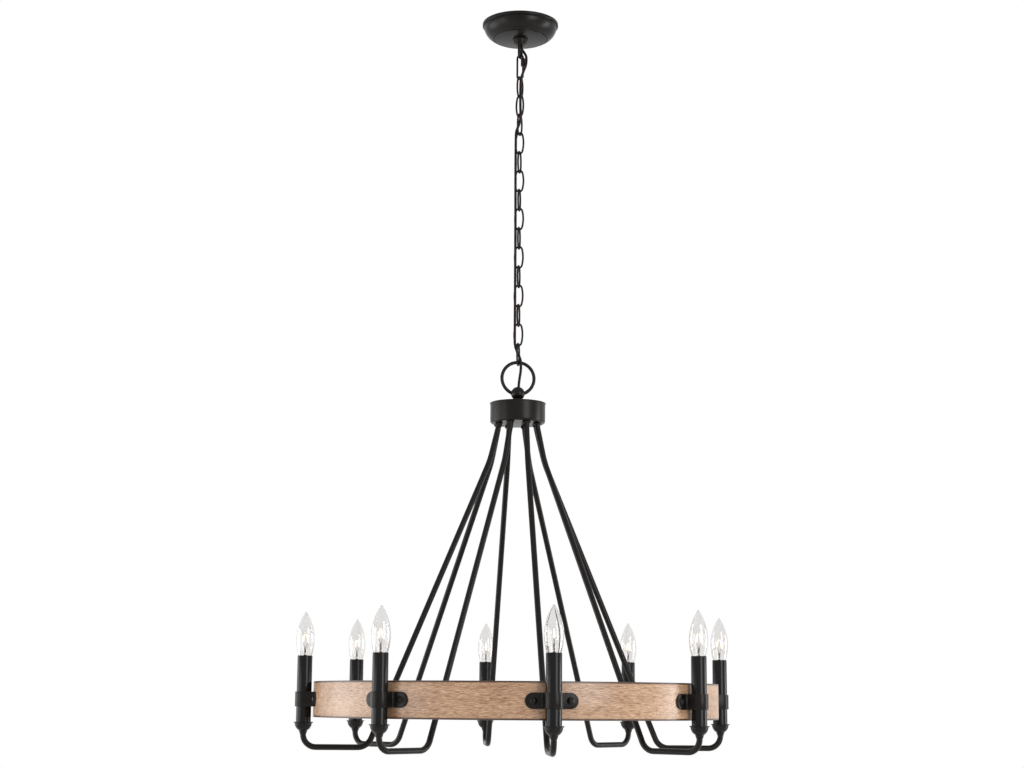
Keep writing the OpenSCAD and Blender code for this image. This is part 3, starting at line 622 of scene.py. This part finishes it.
# ------------------------------------------------------------- candle cups
# Spun cups with a flat rolled lip, a half round bowl, a bead and a short
# taper, nutted to the end of each arm.
candle_line = (candle_r / 1000, 0)
rim, base = -1271.8, -1287.3
cup_lip = [(13.3, rim), (15.9, rim), (16.35, rim - 0.3), (16.5, rim - 0.9), (16.35, rim - 1.5),
           (15.9, rim - 1.8), (14.7, rim - 2)]
cup_foot = [(6.9, base + 1), (7, base + 0.3), (6.8, base - 1.1), (6.4, base - 1.5), (6.1, base - 2),
            (5.6, base - 4.5), (5.05, base - 4.5), (5.05, base + 1.2), (6.4, base + 2.2)]
cup = turned("cup", cup_lip + arc((0, rim - 1.7), 14.5, -4, -62, 14) + cup_foot
             + arc((0, rim - 1.7), 13.3, -60, -3, 12), steps=64, about=candle_line)
hang(around("cup_spun", cup), "fixture", "candle_cups", black_coat)

# ----------------------------------------------------------- candle sleeves
# Thin steel tube over each socket, coated satin black and a little glossier
# than the rest, with its cut end turned in.
sleeve_coat, shader, place = finish_of("satin_black_enamel_on_tube", Specular_IOR_Level=0.18)
cloud = add(sleeve_coat, "TexNoise", {"Vector": (place, "Object"), "Scale": 1 / 0.02, "Detail": 3})
tone = add(sleeve_coat, "ValToRGB", {"Fac": (cloud, "Fac")})
tone.color_ramp.elements[0].color, tone.color_ramp.elements[1].color = colour("#080707"), colour("#100e0e")
wire(sleeve_coat, tone, "Color", shader, "Base Color")
satin = add(sleeve_coat, "MapRange", {"Value": (cloud, "Fac"), "To Min": 0.16, "To Max": 0.22})
wire(sleeve_coat, satin, "Result", shader, "Roughness")
sleeve = turned("sleeve", [
    (12.7, -1276.4), (12.7, -1161.3), (12.5, -1160.9), (12.2, -1160.8), (11.9, -1161),
    (11.7, -1161.4), (11.7, -1276.4)], steps=64, about=candle_line)
hang(around("sleeve_tube", sleeve), "fixture", "candle_sleeves", sleeve_coat)

# ----------------------------------------------------------------- sockets
# Candelabra sockets, moulded in cream phenolic, on a stem in each sleeve. The
# filler in the resin gives it a dull, finely flecked face.
phenolic, shader, place = finish_of("moulded_phenolic", Roughness=0.45, IOR=1.55)
fill = add(phenolic, "TexNoise", {"Vector": (place, "Object"), "Scale": 1 / 0.002, "Detail": 3})
tone = add(phenolic, "ValToRGB", {"Fac": (fill, "Fac")})
tone.color_ramp.elements[0].color, tone.color_ramp.elements[1].color = colour("#d3ccba"), colour("#e0dacb")
wire(phenolic, tone, "Color", shader, "Base Color")
coat("lamp_sockets", phenolic)

# ------------------------------------------------------------------- bulbs
# Clear torpedo lamps: blown soda-lime glass drawn to a tip, a glass stem that
# carries a coiled tungsten filament on two wires, and a small screw base.

# Blown glass is clear and smooth, and only its edges look a touch grey.
clear_glass, shader, place = finish_of("clear_soda_lime_glass", Transmission_Weight=1.0, Roughness=0.0,
                                       IOR=1.5)
tint = add(clear_glass, "TexNoise", {"Vector": (place, "Object"), "Scale": 1 / 0.03})
tone = add(clear_glass, "ValToRGB", {"Fac": (tint, "Fac")})
tone.color_ramp.elements[0].color, tone.color_ramp.elements[1].color = colour("#eae9e8"), colour("#f2f1f0")
wire(clear_glass, tone, "Color", shader, "Base Color")
# The stem is pressed while soft, so it is wavy and less clear than the bulb.
stem_glass, shader, place = finish_of("lead_glass_stem", Transmission_Weight=1.0, Roughness=0.12, IOR=1.55)
tint = add(stem_glass, "TexNoise", {"Vector": (place, "Object"), "Scale": 1 / 0.004})
tone = add(stem_glass, "ValToRGB", {"Fac": (tint, "Fac")})
tone.color_ramp.elements[0].color, tone.color_ramp.elements[1].color = colour("#e9ddd2"), colour("#f4ebe2")
wire(stem_glass, tone, "Color", shader, "Base Color")
# Nickel wire darkens in the flame that seals it in.
lead_wire, shader, place = finish_of("oxidised_nickel_wire", Metallic=1.0, Roughness=0.5)
tint = add(lead_wire, "TexNoise", {"Vector": (place, "Object"), "Scale": 1 / 0.002})
tone = add(lead_wire, "ValToRGB", {"Fac": (tint, "Fac")})
tone.color_ramp.elements[0].color, tone.color_ramp.elements[1].color = colour("#3a332e"), colour("#6b6058")
wire(lead_wire, tone, "Color", shader, "Base Color")
# The filament burns dimly, paler where the coil is closer.
hot_tungsten, shader, place = finish_of("glowing_tungsten", Metallic=1.0, Roughness=0.6,
                                        Emission_Strength=6.0)
heat = add(hot_tungsten, "TexNoise", {"Vector": (place, "Object"), "Scale": 1 / 0.003})
tone = add(hot_tungsten, "ValToRGB", {"Fac": (heat, "Fac")})
tone.color_ramp.elements[0].color, tone.color_ramp.elements[1].color = colour("#ffb27a"), colour("#ffd9a8")
wire(hot_tungsten, tone, "Color", shader, "Base Color")
wire(hot_tungsten, tone, "Color", shader, "Emission Color")
# Rolled brass is bright, with dull patches where it was handled.
brass, shader, place = finish_of("rolled_brass", Metallic=1.0)
tint = add(brass, "TexNoise", {"Vector": (place, "Object"), "Scale": 1 / 0.003, "Detail": 3})
tone = add(brass, "ValToRGB", {"Fac": (tint, "Fac")})
tone.color_ramp.elements[0].color, tone.color_ramp.elements[1].color = colour("#a9843f"), colour("#cfa85a")
wire(brass, tone, "Color", shader, "Base Color")
worn = add(brass, "MapRange", {"Value": (tint, "Fac"), "To Min": 0.2, "To Max": 0.38})
wire(brass, worn, "Result", shader, "Roughness")

tip, glass_height, nose, belly = -1086.8, 83, 4, 47
bulb_r, neck_r, wall = 15.8, 8, 0.8
neck = tip - glass_height


def glass_r(depth):
    """Radius of the glass at a depth under its tip, which is blown round."""
    if depth < nose:
        return glass_r(nose) * math.sqrt(depth / nose)
    if depth <= belly:
        return bulb_r * math.sin(math.radians(90 * depth / belly)) ** 0.75
    return bulb_r * math.cos(math.acos(neck_r / bulb_r) * (depth - belly) / (glass_height - belly))


depths = [0, 0.08, 0.3, 0.7, 1.3, 2.1, 3.0]
depths += [nose + (belly - nose) * k / 22 for k in range(23)] + [belly + 2 * k for k in range(1, 19)]
outside = [(glass_r(d), tip - d) for d in depths]
inside = [(glass_r(d) - wall, tip - d) for d in depths if glass_r(d) > 1.9]
bulb = turned("glass", outside + list(reversed(inside)) + [(0, tip - 1.2)], steps=64, closed=False,
              about=candle_line)
stem = turned("stem", [
    (0, neck), (4.6, neck), (4.2, neck + 2), (2.4, neck + 8), (1.9, neck + 16), (2.1, neck + 20),
    (1.5, neck + 23), (0, neck + 24)], steps=32, closed=False, about=candle_line)
foot = neck + 22
leads = [rod("lead", (candle_r + s * 0.8, 0, foot - 7), 0.32, 10, [
    (0, 0, 7), (s * 3.0, 0, 9), (s * 0.2, 0, 1.2)]) for s in (-1, 1)]
crimp = rod("crimp", (candle_r, 0, neck + 13), 0.9, 16, [(0, 0, 2), (0, 0, 4), (0, 0, 2)])
coil = rod("coil", (candle_r - 4, 0, foot + 10), 0.42, 10, [
    (0.6, 0, 5), (0.9, 0, 5.2), (1, 0, 2), (1.5, 0, -0.6),
    (1.5, 0, 0.6), (1, 0, -2), (0.9, 0, -5.2), (0.6, 0, -5)])
thread = [(6.1 - 0.45 * (k % 2), neck - 18 + 1.27 * k) for k in range(12)]
base = turned("base", [(0, neck - 22), (2.4, neck - 22), (4.5, neck - 19), (6, neck - 18.6)] + thread
              + [(6.1, neck - 2.6), (7.9, neck - 0.4), (7.9, neck), (0, neck)],
              steps=48, closed=False, about=candle_line)
wires = join("leads", leads + [crimp])
parts = [(bulb, clear_glass, "glass"), (stem, stem_glass, "stem"), (wires, lead_wire, "leads"),
         (coil, hot_tungsten, "filament"), (base, brass, "base")]
for part, mat, name in parts:
    for i, piece in enumerate(around("bulb_" + name, part, joined=False)):
        hang(piece, f"bulb_{i + 1}", f"bulb_{i + 1}", mat)

# ---------------------------------------------------------- floor and light
# A matt white floor well under the lamp, a white surround, and four soft
# lights: one at each side, a weak one front left and the main one front right.
floor_paint, shader, place = finish_of("white_floor_paint", Roughness=0.8)
uneven = add(floor_paint, "TexNoise", {"Vector": (place, "Object"), "Scale": 3.0})
tone = add(floor_paint, "ValToRGB", {"Fac": (uneven, "Fac")})
tone.color_ramp.elements[0].color, tone.color_ramp.elements[1].color = colour("#e9e9e9"), colour("#f2f2f2")
wire(floor_paint, tone, "Color", shader, "Base Color")
wire(floor_paint, tone, "Color", shader, "Emission Color")


def seen_as(mat, lighting, looking):
    """A strength for rays that light things, and another for those that look, also in metal or glass."""
    ray = add(mat, "LightPath")
    seen = add(mat, "Math", {0: (ray, "Is Camera Ray"), 1: (ray, "Is Transmission Ray")},
               operation="MAXIMUM")
    look = add(mat, "Math", {0: (seen, "Value"), 1: (ray, "Is Glossy Ray")}, operation="MAXIMUM")
    return add(mat, "MapRange", {"Value": (look, "Value"), "To Min": lighting, "To Max": looking})


# Lifted for looking only, so the floor is near white and its shadows stay.
wire(floor_paint, seen_as(floor_paint, 0.0, 0.52), "Result", shader, "Emission Strength")
bpy.ops.object.select_all(action="DESELECT")
bpy.ops.mesh.primitive_plane_add(size=30, location=(0, 0, -2.2))
floor = bpy.context.object
floor.name = "floor"
floor.data.materials.append(floor_paint)

world = bpy.data.worlds.new("surround")
bpy.context.scene.world = world
world.use_nodes = True
background = world.node_tree.nodes["Background"]
background.inputs["Color"].default_value = (1, 1, 1, 1)
wire(world, seen_as(world, 0.5, 1.0), "Result", background, "Strength")

aim = Vector((0, 0, -1.1))
for name, spot, width, height, power in (
        ("left", (-3.0, 0.4, -1.2), 2.2, 1.8, 42), ("left_front", (-2.6, -1.5, -1.2), 1.2, 1.8, 19),
        ("right", (3.05, 0.3, -1.2), 0.9, 1.8, 38), ("key", (1.8, -2.4, -0.5), 1.2, 2.2, 42)):
    lamp = bpy.data.objects.new(name, bpy.data.lights.new(name, "AREA"))
    lamp.data.shape, lamp.data.energy = "RECTANGLE", power
    lamp.data.size, lamp.data.size_y = width, height
    lamp.location = turn @ Vector(spot)
    lamp.rotation_euler = (aim - lamp.location).to_track_quat("-Z", "Y").to_euler()
    bpy.context.scene.collection.objects.link(lamp)
